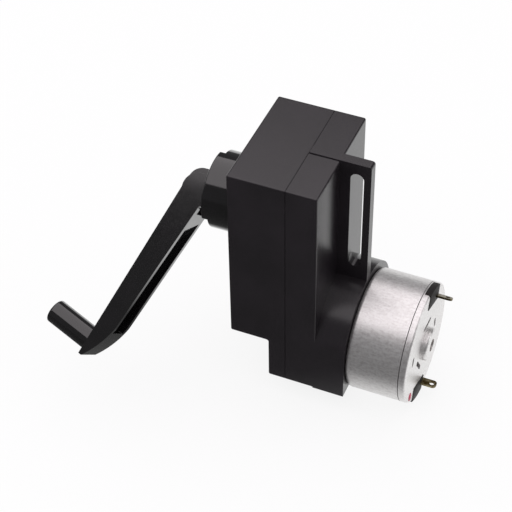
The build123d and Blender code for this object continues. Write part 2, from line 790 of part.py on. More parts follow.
with BuildPart() as second_gear:
    phase = gap_phase(second_mesh, second_pinion_teeth)
    pinion_start = second_plane - pinion_overhang
    pinion_length = gear_width + 2 * pinion_overhang
    toothed_rim(second_pinion_teeth, fine_module, phase, second_axis, pinion_start, pinion_length)
    rod(second_axis, pinion_start + pinion_length, third_plane, spacer_radius)
    toothed_rim(second_wheel_teeth, fine_module, third_mesh, second_axis, third_plane, gear_width)
    root = pitch_radius(second_wheel_teeth, fine_module) - dedendum_share * fine_module
    recess = gear_width - web_thickness
    web_recess(second_axis, third_plane_end, -recess, root - rim_width, gear_hub_radius)
    rod(second_axis, pinion_start, third_plane_end, axle_radius + running_fit, Mode.SUBTRACT)
save(second_gear, "second_gear")

with BuildPart() as first_axle:
    rod(first_axis, axle_start, axle_end, axle_radius)
save(first_axle, "first_axle")

with BuildPart() as second_axle:
    rod(second_axis, axle_start, axle_end, axle_radius)
save(second_axle, "second_axle")

# ---------------------------------------------------------------- motor
shaft_start = third_plane - 3 * pinion_overhang
with BuildPart() as motor_pinion:
    phase = gap_phase(third_mesh, motor_pinion_teeth)
    pinion_start = third_plane - pinion_overhang
    pinion_length = gear_width + 2 * pinion_overhang
    toothed_rim(motor_pinion_teeth, fine_module, phase, motor_axis, pinion_start, pinion_length)
    rod(motor_axis, pinion_start, pinion_start + pinion_length, motor_shaft_radius, Mode.SUBTRACT)
save(motor_pinion, "motor_pinion")

can_inner = can_radius - can_wall
with BuildPart() as motor_can:
    rod(motor_axis, can_front, cap_start - cap_groove, can_radius)
    fillet(motor_can.edges().group_by(Axis.X)[0], can_edge_radius)
    rod(motor_axis, can_front + can_wall, cap_start, can_inner, Mode.SUBTRACT)
    rod(motor_axis, can_front - bearing_boss_height, can_front + can_wall, bearing_boss_radius)
    rod(motor_axis, can_front - bearing_boss_height, can_front + can_wall, bearing_radius, Mode.SUBTRACT)
    for side in (-1, 1):
        screw_place = (side * motor_screw_spread / 2, -motor_drop)
        rod(screw_place, can_front, can_front + can_wall, screw_radius + slip_fit, Mode.SUBTRACT)
save(motor_can, "motor_can")

with BuildPart() as front_bearing:
    bearing_start = can_front - bearing_boss_height
    bearing_end = can_front + can_wall + bearing_reach
    rod(motor_axis, bearing_start, bearing_end, bearing_radius)
    rod(motor_axis, bearing_start, bearing_end, motor_shaft_radius + running_fit, Mode.SUBTRACT)
save(front_bearing, "front_bearing")

magnet_start = can_front + can_wall + magnet_gap_front
magnet_end = cap_start - magnet_gap_rear
magnet_inner = can_inner - magnet_thickness
with BuildPart() as field_magnet:
    rod(motor_axis, magnet_start, magnet_end, can_inner)
    rod(motor_axis, magnet_start, magnet_end, magnet_inner, Mode.SUBTRACT)
save(field_magnet, "field_magnet")

core_start = magnet_start + core_inset_front
core_end = magnet_end - core_inset_rear
core_radius = magnet_inner - air_gap
coil_radius_high = sqrt((core_radius - shoe_height)**2 - coil_width**2 / 4) - coil_clearance
with BuildPart() as armature_core:
    rod(motor_axis, core_start, core_end, core_hub_radius)
    with BuildSketch(round_axis(motor_axis, core_start)) as poles:
        with PolarLocations(0, 3, start_angle=90):
            with BuildLine(mode=Mode.PRIVATE) as shoe:
                CenterArc((0, 0), core_radius, -shoe_angle / 2, shoe_angle)
                CenterArc((0, 0), core_radius - shoe_height, -shoe_angle / 2, shoe_angle)
                Line(shoe.edges()[0] @ 0, shoe.edges()[1] @ 0)
                Line(shoe.edges()[0] @ 1, shoe.edges()[1] @ 1)
            make_face(shoe.edges())
        with PolarLocations((core_radius + core_hub_radius) / 2 - shoe_height / 2, 3, start_angle=90):
            Rectangle(core_radius - core_hub_radius, pole_width)
    extrude(amount=core_end - core_start)
    rod(motor_axis, core_start, core_end, motor_shaft_radius, Mode.SUBTRACT)
save(armature_core, "armature_core")

with BuildPart() as armature_windings:
    coil_middle = (core_start + core_end) / 2
    coil_length = core_end - core_start
    coil_height = coil_radius_high - coil_radius_low
    for index in range(3):
        angle = radians(90 + 120 * index)
        outwards = Vector(0, cos(angle), sin(angle))
        foot = Vector(coil_middle, 0, -motor_drop) + outwards * coil_radius_low
        with BuildSketch(Plane(origin=foot, x_dir=(1, 0, 0), z_dir=outwards)):
            RectangleRounded(coil_length + 2 * coil_overhang, coil_width, coil_corner)
            Rectangle(coil_length + 2 * slip_fit, pole_width + 2 * slip_fit, mode=Mode.SUBTRACT)
        extrude(amount=coil_height)
save(armature_windings, "armature_windings")

commutator_start = core_end + coil_overhang + coil_gap
commutator_end = can_rear - commutator_end_gap
with BuildPart() as commutator:
    rod(motor_axis, commutator_start, commutator_end, commutator_radius)
    with BuildSketch(round_axis(motor_axis, commutator_start)):
        with PolarLocations(commutator_radius, 3, start_angle=30):
            Rectangle(2 * commutator_slot_depth, commutator_slot_width)
    extrude(amount=commutator_end - commutator_start, mode=Mode.SUBTRACT)
    rod(motor_axis, commutator_start, commutator_end, motor_shaft_radius, Mode.SUBTRACT)
save(commutator, "commutator")

shaft_end = can_rear + cap_boss_height - end_play
with BuildPart() as motor_shaft:
    rod(motor_axis, shaft_start, shaft_end, motor_shaft_radius)
    chamfer(motor_shaft.edges().group_by(Axis.X)[0], motor_shaft_chamfer)
save(motor_shaft, "motor_shaft")


def rim_plane(angle, radius, x):
    """A plane square to X on the motor's rear, whose local x points outwards."""
    outwards = Vector(0, cos(radians(angle)), sin(radians(angle)))
    centre = Vector(x, 0, -motor_drop) + outwards * radius
    return Plane(origin=centre, x_dir=outwards, z_dir=(1, 0, 0))


with BuildPart() as end_cap:
    rod(motor_axis, cap_start, can_rear, can_radius)
    fillet(end_cap.edges().group_by(Axis.X)[-1], cap_edge_radius)
    rod(motor_axis, cap_start, can_rear - cap_plate, can_inner, Mode.SUBTRACT)
    rod(motor_axis, can_rear - cap_plate, can_rear + cap_boss_height, cap_boss_radius)
    fillet(end_cap.edges().group_by(Axis.X)[-1], cap_boss_round)
    cap_boss_floor = can_rear + cap_boss_height - cap_boss_lid
    rod(motor_axis, can_rear - cap_plate, cap_boss_floor, rear_bearing_radius, Mode.SUBTRACT)
    rod(motor_axis, can_rear, can_rear + cap_boss_height, motor_shaft_radius + end_play, Mode.SUBTRACT)
    for angle in window_angles:
        with BuildSketch(rim_plane(angle, terminal_radius, can_rear - cap_plate)):
            SlotOverall(window_width, window_height, rotation=90)
        extrude(amount=cap_plate, mode=Mode.SUBTRACT)
    # stamped vents: two long ones beside the bearing boss and two short ones further out
    for angle, radius in long_vent_places:
        with BuildSketch(rim_plane(angle, radius, can_rear - cap_plate)):
            SlotOverall(long_vent, vent_width, rotation=90)
        extrude(amount=cap_plate, mode=Mode.SUBTRACT)
    for angle, radius in short_vent_places:
        with BuildSketch(rim_plane(angle, radius, can_rear - cap_plate)):
            SlotOverall(short_vent, vent_width, rotation=90)
        extrude(amount=cap_plate, mode=Mode.SUBTRACT)
save(end_cap, "end_cap")

with BuildPart() as rear_bearing:
    rod(motor_axis, can_rear - cap_plate, cap_boss_floor, rear_bearing_radius)
    rod(motor_axis, can_rear - cap_plate, cap_boss_floor, motor_shaft_radius + running_fit, Mode.SUBTRACT)
save(rear_bearing, "rear_bearing")

holder_end = can_rear - cap_plate
holder_start = holder_end - holder_thickness
with BuildPart() as brush_holder:
    rod(motor_axis, holder_start, holder_end, can_inner)
    rod(motor_axis, holder_start, holder_end, commutator_radius + holder_opening, Mode.SUBTRACT)
    for angle in window_angles:
        with BuildSketch(rim_plane(angle, terminal_radius, holder_end)):
            SlotOverall(window_width - 4 * running_fit, window_height - 4 * running_fit, rotation=90)
        extrude(amount=cap_plate - holder_recess)
    for angle in terminal_angles:
        with BuildSketch(rim_plane(angle, terminal_radius, holder_start)):
            Rectangle(terminal_thickness, terminal_width)
        extrude(amount=holder_end - holder_start + cap_plate, mode=Mode.SUBTRACT)
save(brush_holder, "brush_holder")

with BuildPart() as terminals:
    for angle in terminal_angles:
        with BuildSketch(rim_plane(angle, terminal_radius, holder_start)):
            Rectangle(terminal_thickness, terminal_width)
        extrude(amount=can_rear + terminal_reach - holder_start)
        root_plane = rim_plane(angle, terminal_radius, can_rear + terminal_reach - terminal_width / 2)
        hole_plane = Plane(origin=root_plane.origin, x_dir=(1, 0, 0), z_dir=root_plane.x_dir)
        with BuildSketch(hole_plane):
            Circle(terminal_hole_radius)
        extrude(amount=terminal_thickness, both=True, mode=Mode.SUBTRACT)
    tips = terminals.edges().filter_by(lambda edge: abs(edge.length - terminal_thickness) < slip_fit)
    fillet(tips.group_by(Axis.X)[-1], terminal_tip_round)
save(terminals, "terminals")

brush_start = holder_start - brush_height
brush_middle = commutator_radius + slip_fit + brush_length / 2
spring_middle = commutator_radius + slip_fit + brush_length + spring_thickness / 2
with BuildPart() as brushes:
    for angle in (0, 180):
        with BuildSketch(rim_plane(angle, brush_middle, brush_start)):
            Rectangle(brush_length, brush_width)
        extrude(amount=brush_height)
        with BuildSketch(rim_plane(angle, spring_middle, brush_start)):
            Rectangle(spring_thickness, spring_length)
        extrude(amount=brush_height)
save(brushes, "brushes")

with BuildPart() as motor_screws:
    for side in (-1, 1):
        screw_place = (side * motor_screw_spread / 2, -motor_drop)
        head_end = block_face - wall
        rod(screw_place, head_end - motor_screw_head_height, head_end, screw_head_radius)
        rod(screw_place, head_end, can_front + can_wall + motor_screw_reach, screw_radius)
save(motor_screws, "motor_screws")
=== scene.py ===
import bpy
import json
import math
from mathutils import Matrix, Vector


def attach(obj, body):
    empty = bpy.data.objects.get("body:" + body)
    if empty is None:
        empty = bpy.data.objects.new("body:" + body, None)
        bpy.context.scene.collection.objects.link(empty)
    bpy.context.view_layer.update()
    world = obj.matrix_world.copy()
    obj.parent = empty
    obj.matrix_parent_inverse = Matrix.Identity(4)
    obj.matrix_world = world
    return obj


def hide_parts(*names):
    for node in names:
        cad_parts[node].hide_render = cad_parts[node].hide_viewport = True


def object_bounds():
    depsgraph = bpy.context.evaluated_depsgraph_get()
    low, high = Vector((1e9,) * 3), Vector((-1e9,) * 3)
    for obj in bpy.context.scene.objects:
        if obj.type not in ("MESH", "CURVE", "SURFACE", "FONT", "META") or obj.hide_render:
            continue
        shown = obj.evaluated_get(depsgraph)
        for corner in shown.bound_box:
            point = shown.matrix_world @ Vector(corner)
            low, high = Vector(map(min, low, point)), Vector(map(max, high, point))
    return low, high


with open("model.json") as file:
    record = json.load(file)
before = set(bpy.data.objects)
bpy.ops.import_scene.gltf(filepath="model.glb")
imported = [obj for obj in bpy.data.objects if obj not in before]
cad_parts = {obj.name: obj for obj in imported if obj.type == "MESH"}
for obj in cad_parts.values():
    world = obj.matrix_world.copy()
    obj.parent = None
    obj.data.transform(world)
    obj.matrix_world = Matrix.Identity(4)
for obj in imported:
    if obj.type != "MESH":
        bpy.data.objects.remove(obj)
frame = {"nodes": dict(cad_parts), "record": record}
nodes = frame["nodes"]
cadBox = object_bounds()
mm = 0.001

print("frame loaded:", len(nodes), "nodes")


def toLinear(hexColour):
    digits = hexColour.lstrip("#")
    channels = [int(digits[i:i + 2], 16) / 255 for i in (0, 2, 4)]
    return [c / 12.92 if c <= 0.04045 else ((c + 0.055) / 1.055) ** 2.4 for c in channels] + [1.0]


def emptyTree(owner):
    owner.use_nodes = True
    owner.node_tree.nodes.clear()
    return owner.node_tree


def addNode(tree, kind, settings=None, links=None):
    node = tree.nodes.new(kind)
    for key, value in (settings or {}).items():
        if isinstance(key, int) or key in node.inputs:
            node.inputs[key].default_value = value
        else:
            setattr(node, key, value)
    for key, source in (links or {}).items():
        tree.links.new(source, node.inputs[key])
    return node


# the node of each kind of pattern, its output, and how long one repeat is at scale 1
patternKinds = {
    "cloud": ("ShaderNodeTexNoise", "Fac", 1.0),
    "pores": ("ShaderNodeTexVoronoi", "Distance", 1.0),
    "rows": ("ShaderNodeTexWave", "Fac", 2 * math.pi / 20),
}

# Each finish names its patterns by their real size in mm. Colour and roughness then run between two values
# along a pattern, and the relief gives each pattern's depth in mm.
finishes = {
    # ABS, injection moulded in a finely spark-eroded tool: satin black, with an even grain under the eye's limit
    "mouldedAbs": {
        "patterns": {"patches": {"kind": "cloud", "sizeMm": 9.0, "Detail": 3.0},
                     "grain": {"kind": "cloud", "sizeMm": 0.22, "Detail": 2.0}},
        "colour": ("patches", "#1b181b", "#221e22"),
        "roughness": ("patches", 0.21, 0.27),
        "reliefMm": {"grain": 0.004},
        "shader": {"IOR": 1.54},
    },
    # ABS from a polished tool: deep gloss black, with the faint waves of cooling that bend its highlights
    "polishedAbs": {
        "patterns": {"flow": {"kind": "cloud", "sizeMm": 5.0, "Detail": 1.0},
                     "scuffs": {"kind": "cloud", "sizeMm": 0.5, "Detail": 4.0, "stretch": (1, 1, 0.25)}},
        "colour": ("flow", "#080708", "#0f0d0f"),
        "roughness": ("scuffs", 0.06, 0.18),
        "reliefMm": {"flow": 0.02},
        "shader": {"IOR": 1.52, "Coat Weight": 0.8, "Coat Roughness": 0.05, "Coat IOR": 1.5},
    },
    # acetal, injection moulded: milky off-white that light enters a little, with a waxy satin skin
    "mouldedAcetal": {
        "patterns": {"milk": {"kind": "cloud", "sizeMm": 2.5, "Detail": 2.0},
                     "skin": {"kind": "cloud", "sizeMm": 0.15, "Detail": 2.0}},
        "colour": ("milk", "#dcd8cb", "#efece2"),
        "roughness": ("skin", 0.32, 0.48),
        "reliefMm": {"skin": 0.004},
        "shader": {"IOR": 1.48, "Subsurface Weight": 0.25, "Subsurface Radius": (0.6, 0.55, 0.45),
                   "Subsurface Scale": 0.6 * mm},
    },
    # sintered bronze: pressed powder, brown-gold and open-pored, dull with oil
    "sinteredBronze": {
        "patterns": {"pores": {"kind": "pores", "sizeMm": 0.12},
                     "stain": {"kind": "cloud", "sizeMm": 1.4, "Detail": 3.0}},
        "colour": ("stain", "#7d5a34", "#a67c4c"),
        "roughness": ("stain", 0.3, 0.5),
        "reliefMm": {"pores": 0.01},
        "shader": {"Metallic": 1.0},
    },
    # steel bar, turned and ground: bright grey with fine rings round its axis, softened by handling
    "turnedSteel": {
        "patterns": {"rings": {"kind": "cloud", "sizeMm": 0.12, "Detail": 2.0, "stretch": (1, 0.08, 0.08)},
                     "stain": {"kind": "cloud", "sizeMm": 2.2, "Detail": 3.0}},
        "colour": ("stain", "#8f8d8a", "#b4b2ae"),
        "roughness": ("rings", 0.2, 0.36),
        "reliefMm": {"rings": 0.003},
        "shader": {"Metallic": 1.0},
    },
    # deep-drawn steel, zinc plated: bright pale grey, clouded in small patches, with faint lines along the draw
    "zincPlatedSteel": {
        "patterns": {"drawn": {"kind": "cloud", "sizeMm": 0.35, "Detail": 3.0, "stretch": (0.3, 1, 1)},
                     "spangle": {"kind": "cloud", "sizeMm": 0.45, "Detail": 5.0}},
        "meanOf": ("drawn", "spangle"),
        "colour": ("mean", "#d2cfce", "#f0efee", 0.32, 0.6),
        "roughness": ("spangle", 0.28, 0.50),
        "reliefMm": {"drawn": 0.002, "spangle": 0.010},
        "shader": {"Metallic": 0.86},
    },
    # ferrite ring, sintered and ground: charcoal grey, dull, with a dusting of lighter grains
    "sinteredFerrite": {
        "patterns": {"grains": {"kind": "cloud", "sizeMm": 0.1, "Detail": 4.0}},
        "colour": ("grains", "#1f1f22", "#3b3a3d", 0.4, 0.8),
        "roughness": ("grains", 0.55, 0.75),
        "reliefMm": {"grains": 0.01},
        "shader": {"IOR": 2.0, "Metallic": 0.2},
    },
    # enamelled copper wire, wound in layers: red-brown gloss in rows, drawn coarser than the real wire
    "enamelledCopper": {
        "patterns": {"rows": {"kind": "rows", "sizeMm": 1.571, "Distortion": 0.4},
                     "stain": {"kind": "cloud", "sizeMm": 1.2, "Detail": 2.0}},
        "colour": ("stain", "#8a3c1b", "#b8622f"),
        "roughness": ("stain", 0.2, 0.35),
        "reliefMm": {"rows": 0.06},
        "shader": {"Metallic": 1.0, "Coat Weight": 0.6, "Coat Roughness": 0.1},
    },
    # drawn copper, turned and run in: bright orange-red with dark brush tracks round it
    "bareCopper": {
        "patterns": {"tracks": {"kind": "cloud", "sizeMm": 0.2, "Detail": 3.0, "stretch": (1, 0.1, 0.1)}},
        "colour": ("tracks", "#6b3f2c", "#c88460"),
        "roughness": ("tracks", 0.22, 0.42),
        "reliefMm": {"tracks": 0.004},
        "shader": {"Metallic": 1.0},
    },
    # stamped steel sheets in a stack: a grey metal with a dark line between sheets, drawn coarser than real ones
    "stackedSteel": {
        "patterns": {"sheets": {"kind": "rows", "sizeMm": 2.199, "Distortion": 0.0},
                     "stain": {"kind": "cloud", "sizeMm": 0.6, "Detail": 2.0}},
        "colour": ("sheets", "#3c3b3c", "#8e8c8a", 0.1, 0.5),
        "roughness": ("stain", 0.35, 0.55),
        "reliefMm": {"sheets": 0.02},
        "shader": {"Metallic": 1.0},
    },
    # stamped brass tabs, hand soldered: dull yellow-brown metal, darkened by flux, with grey solder in patches
    "tinnedBrass": {
        "patterns": {"solder": {"kind": "cloud", "sizeMm": 0.8, "Detail": 4.0},
                     "skin": {"kind": "cloud", "sizeMm": 0.1, "Detail": 2.0}},
        "colour": ("solder", "#4a3d1e", "#8d8468", 0.42, 0.66),
        "roughness": ("solder", 0.2, 0.45),
        "reliefMm": {"skin": 0.006},
        "shader": {"Metallic": 1.0},
    },
    # phenolic paper board, punched: brown-black and dull, with a faint fibre
    "phenolicBoard": {
        "patterns": {"fibre": {"kind": "cloud", "sizeMm": 0.3, "Detail": 4.0, "stretch": (1, 0.2, 1)}},
        "colour": ("fibre", "#0d0b0a", "#1a1512"),
        "roughness": ("fibre", 0.55, 0.75),
        "reliefMm": {"fibre": 0.008},
        "shader": {"IOR": 1.45},
    },
    # graphite brush, pressed: dark grey with a soft graphite shine where it slides
    "pressedCarbon": {
        "patterns": {"grains": {"kind": "cloud", "sizeMm": 0.15, "Detail": 4.0}},
        "colour": ("grains", "#18181a", "#39393c"),
        "roughness": ("grains", 0.35, 0.6),
        "reliefMm": {"grains": 0.006},
        "shader": {"Metallic": 0.5},
    },
    # marking lacquer, dabbed on by hand: thick red paint, a little cloudy, with a wet shine
    "redLacquer": {
        "patterns": {"cloud": {"kind": "cloud", "sizeMm": 0.5, "Detail": 3.0}},
        "colour": ("cloud", "#8e1a35", "#c93a5c"),
        "roughness": ("cloud", 0.15, 0.3),
        "reliefMm": {"cloud": 0.02},
        "shader": {"IOR": 1.5},
    },
}


def makeFinish(name):
    look = finishes[name]
    material = bpy.data.materials.new(name)
    tree = emptyTree(material)
    place = addNode(tree, "ShaderNodeTexCoord").outputs["Object"]
    patterns = {}
    for title, pattern in look["patterns"].items():
        kind, output, repeat = patternKinds[pattern["kind"]]
        mapped = addNode(tree, "ShaderNodeMapping", {"Scale": pattern.get("stretch", (1, 1, 1))}, {"Vector": place})
        settings = {key: value for key, value in pattern.items() if key not in ("kind", "sizeMm", "stretch")}
        settings["Scale"] = repeat / (pattern["sizeMm"] * mm)
        texture = addNode(tree, kind, settings, {"Vector": mapped.outputs["Vector"]})
        patterns[title] = texture.outputs[output]
    if "meanOf" in look:  # a pattern halfway between two others
        first, second = look["meanOf"]
        both = addNode(tree, "ShaderNodeMath", {"operation": "ADD"}, {0: patterns[first], 1: patterns[second]})
        mean = addNode(tree, "ShaderNodeMath", {"operation": "MULTIPLY", 1: 0.5}, {0: both.outputs["Value"]})
        patterns["mean"] = mean.outputs["Value"]

    title, low, high, *ends = look["colour"]
    start, end = ends or (0.3, 0.7)
    ramp = addNode(tree, "ShaderNodeValToRGB", links={"Fac": patterns[title]})
    ramp.color_ramp.elements[0].position = start
    ramp.color_ramp.elements[0].color = toLinear(low)
    ramp.color_ramp.elements[1].position = end
    ramp.color_ramp.elements[1].color = toLinear(high)

    title, smooth, dull = look["roughness"]
    spread = addNode(tree, "ShaderNodeMapRange", {"To Min": smooth, "To Max": dull}, {"Value": patterns[title]})

    links = {"Base Color": ramp.outputs["Color"], "Roughness": spread.outputs["Result"]}
    for title, depthMm in look["reliefMm"].items():  # a later relief lies on the one before
        under = {"Normal": links["Normal"]} if "Normal" in links else {}
        relief = addNode(tree, "ShaderNodeBump", {"Strength": 1.0, "Distance": depthMm * mm},
                         {"Height": patterns[title], **under})
        links["Normal"] = relief.outputs["Normal"]
    shader = addNode(tree, "ShaderNodeBsdfPrincipled", look["shader"], links)
    addNode(tree, "ShaderNodeOutputMaterial", links={"Surface": shader.outputs["BSDF"]})
    return material


slotFinishes = {
    "black_abs": "mouldedAbs", "gloss_black": "polishedAbs", "acetal": "mouldedAcetal", "bronze": "sinteredBronze",
    "steel": "turnedSteel", "plated_steel": "zincPlatedSteel", "ferrite": "sinteredFerrite",
    "copper": "enamelledCopper", "brass": "tinnedBrass", "phenolic": "phenolicBoard", "carbon": "pressedCarbon",
}
materials = {slot: makeFinish(finish) for slot, finish in slotFinishes.items()}
ownFinish = {"commutator": makeFinish("bareCopper"), "armature_core": makeFinish("stackedSteel")}
slotOf = {entry["node"]: entry["material_slot"] for entry in frame["record"]["subparts"]}
for name, piece in nodes.items():
    piece.data.materials.clear()
    piece.data.materials.append(ownFinish.get(name) or materials[slotOf[name]])
print("materials made")


def deselectAll():
    bpy.ops.object.select_all(action="DESELECT")


def selectOnly(piece):
    deselectAll()
    piece.select_set(True)
    bpy.context.view_layer.objects.active = piece


def startPiece(name):
    piece = bpy.context.object
    piece.name = name
    return piece


def addMesh(name, mesh):
    piece = bpy.data.objects.new(name, mesh)
    bpy.context.collection.objects.link(piece)
    return piece


def applyPlace(piece):
    selectOnly(piece)
    bpy.ops.object.transform_apply(location=True, rotation=True, scale=True)


def applyModifier(piece, kind, settings):
    selectOnly(piece)
    modifier = piece.modifiers.new(kind.lower(), kind)
    for key, value in settings.items():
        setattr(modifier, key, value)
    bpy.ops.object.modifier_apply(modifier=modifier.name)


def editAll(piece):
    selectOnly(piece)
    bpy.ops.object.mode_set(mode="EDIT")
    bpy.ops.mesh.select_all(action="SELECT")


def editEnd(piece, side):
    # the flat end that faces along +X or -X
    selectOnly(piece)
    bpy.ops.object.mode_set(mode="EDIT")
    bpy.ops.mesh.select_all(action="DESELECT")
    bpy.ops.mesh.select_mode(type="FACE")
    bpy.ops.object.mode_set(mode="OBJECT")
    for face in piece.data.polygons:
        face.select = face.normal.x * side > 0.9
    bpy.ops.object.mode_set(mode="EDIT")


def endEdit():
    bpy.ops.object.mode_set(mode="OBJECT")


def joinPieces(pieces, name):
    deselectAll()
    for piece in pieces:
        piece.select_set(True)
    bpy.context.view_layer.objects.active = pieces[0]
    bpy.ops.object.join()
    return startPiece(name)


smoothBelowDeg = 32


def finishPiece(piece, body, material, stands=(), flatFaces=False):
    selectOnly(piece)
    bpy.ops.object.shade_smooth_by_angle(angle=math.radians(smoothBelowDeg))
    if flatFaces:  # large faces stay flat between their rounded edges
        applyModifier(piece, "WEIGHTED_NORMAL", {"weight": 100, "keep_sharp": True})
    piece.data.materials.clear()
    piece.data.materials.append(material)
    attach(piece, body)
    if stands:
        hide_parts(*stands)
    print("piece ready:", piece.name, len(piece.data.polygons), "faces")


# a recess's arms narrow inwards to these shares of their length and width
# the thread's ridge has its crest and its foot at these shares of the pitch
screwLook = {"headRadiusMm": 1.8, "headSides": 40, "headRoundMm": 0.4, "headRoundSteps": 4,
             "recessMm": 2.2, "recessWidthMm": 0.55, "recessDepthMm": 0.9, "recessNarrowing": (0.4, 0.7),
             "crestMm": 1.0, "rootMm": 0.8, "pitchMm": 0.8, "crestShare": 0.18, "footShare": 0.36,
             "threadSteps": 18, "weldMm": 0.0001, "coreSides": 24, "coreProudMm": 0.005, "tipBevelMm": 0.3}

# Each pair stands at both sides of the middle plane, with its heads' faces at xMm.
screwPairs = {
    "upperScrew": {"xMm": 0.4, "sideMm": 9.4, "heightMm": 12.3, "headMm": 1.6, "shankMm": 13.0},
    "lowerScrew": {"xMm": 8.3, "sideMm": 9.4, "heightMm": -30.9, "headMm": 1.6, "shankMm": 9.0},
    "motorScrew": {"xMm": 21.3, "sideMm": 8.0, "heightMm": -26.1, "headMm": 1.2, "shankMm": 2.4},
}


def makeHead(headMm):
    look = screwLook
    bpy.ops.mesh.primitive_cylinder_add(vertices=look["headSides"], radius=look["headRadiusMm"] * mm,
                                        depth=headMm * mm, location=(headMm * mm / 2, 0, 0),
                                        rotation=(0, math.pi / 2, 0))
    head = startPiece("screwHead")
    applyPlace(head)
    editEnd(head, -1)
    bpy.ops.mesh.bevel(offset=look["headRoundMm"] * mm, segments=look["headRoundSteps"], affect="EDGES")
    endEdit()
    for turn in (0, math.pi / 2):  # cross recess
        bpy.ops.mesh.primitive_cube_add(size=1, location=(0, 0, 0))
        arm = startPiece("recessArm")
        arm.scale = (2 * look["recessDepthMm"] * mm, look["recessMm"] * mm, look["recessWidthMm"] * mm)
        applyPlace(arm)
        editEnd(arm, 1)
        bpy.ops.transform.resize(value=(1, *look["recessNarrowing"]), center_override=(0, 0, 0))
        endEdit()
        arm.rotation_euler = (turn, 0, 0)
        applyPlace(arm)
        applyModifier(head, "BOOLEAN", {"operation": "DIFFERENCE", "object": arm, "solver": "EXACT"})
        bpy.data.objects.remove(arm)
    return head


def makeThread(headMm, shankMm):
    # one turn's profile, swept along the shank and closed at both ends
    look = screwLook
    pitch = look["pitchMm"]
    profile = [(0.0, look["rootMm"]), (look["crestShare"] * pitch, look["crestMm"]),
               (look["footShare"] * pitch, look["rootMm"]), (pitch, look["rootMm"])]
    mesh = bpy.data.meshes.new("thread")
    mesh.from_pydata([((headMm + x) * mm, 0, r * mm) for x, r in profile], [(0, 1), (1, 2), (2, 3)], [])
    thread = addMesh("thread", mesh)
    turns = max(int(shankMm / pitch) - 1, 1)
    applyModifier(thread, "SCREW", {"axis": "X", "screw_offset": pitch * mm, "iterations": turns,
                                    "steps": look["threadSteps"], "use_merge_vertices": True,
                                    "merge_threshold": look["weldMm"] * mm})
    editAll(thread)
    bpy.ops.mesh.remove_doubles(threshold=look["weldMm"] * mm)
    bpy.ops.mesh.fill_holes(sides=0)
    bpy.ops.mesh.normals_make_consistent(inside=False)
    endEdit()
    return thread


def makeCore(headMm, shankMm):
    look = screwLook
    radiusMm = look["rootMm"] + look["coreProudMm"]
    bpy.ops.mesh.primitive_cylinder_add(vertices=look["coreSides"], radius=radiusMm * mm, depth=shankMm * mm,
                                        location=((headMm + shankMm / 2) * mm, 0, 0),
                                        rotation=(0, math.pi / 2, 0))
    core = startPiece("screwCore")
    applyPlace(core)
    editEnd(core, 1)
    bpy.ops.mesh.bevel(offset=look["tipBevelMm"] * mm, segments=2, affect="EDGES")
    endEdit()
    return core


def makeScrewPair(name):
    # a tapping screw that points along +X, modelled once and copied to both sides
    pair = screwPairs[name]
    parts = [makeHead(pair["headMm"]), makeThread(pair["headMm"], pair["shankMm"]),
             makeCore(pair["headMm"], pair["shankMm"])]
    model = joinPieces(parts, "screw")
    copies = []
    for side in (-1, 1):
        copy = addMesh(name, model.data.copy())
        copy.location = (pair["xMm"] * mm, side * pair["sideMm"] * mm, pair["heightMm"] * mm)
        applyPlace(copy)
        copies.append(copy)
    bpy.data.objects.remove(model)
    return copies


caseScrews = joinPieces(makeScrewPair("upperScrew") + makeScrewPair("lowerScrew"), "caseScrews")
finishPiece(caseScrews, "housing", materials["steel"], ["case_screws"])
motorScrews = joinPieces(makeScrewPair("motorScrew"), "motorScrews")
finishPiece(motorScrews, "housing", materials["steel"], ["motor_screws"])

armLook = {"edgeMm": 0.16, "edgeSteps": 3, "sharpAboveDeg": 40, "weldMm": 0.002, "flatBelowDeg": 0.5}


def makeBevelledArm():
    # the arm's own shape with its sharp edges rounded, so that they catch the light
    look = armLook
    piece = addMesh("foldingArm", nodes["crank_arm"].data.copy())
    applyPlace(piece)
    editAll(piece)
    bpy.ops.mesh.remove_doubles(threshold=look["weldMm"] * mm)
    bpy.ops.mesh.dissolve_limited(angle_limit=math.radians(look["flatBelowDeg"]))
    endEdit()
    applyModifier(piece, "BEVEL", {"width": look["edgeMm"] * mm, "segments": look["edgeSteps"],
                                   "limit_method": "ANGLE", "angle_limit": math.radians(look["sharpAboveDeg"]),
                                   "harden_normals": False})
    return piece


finishPiece(makeBevelledArm(), "arm", materials["gloss_black"], ["crank_arm"], flatFaces=True)

insulatorLook = {"rearMm": 36.0, "axisHeightMm": -26.1, "rimMm": 12.22, "sides": 144, "chordMm": 8.6,
                 "halfWidthMm": 3.2, "depthMm": 1.25, "proudMm": 0.14, "edgeMm": 0.12, "edgeSteps": 2,
                 "sharpAboveDeg": 40, "anglesDeg": (71, 251)}


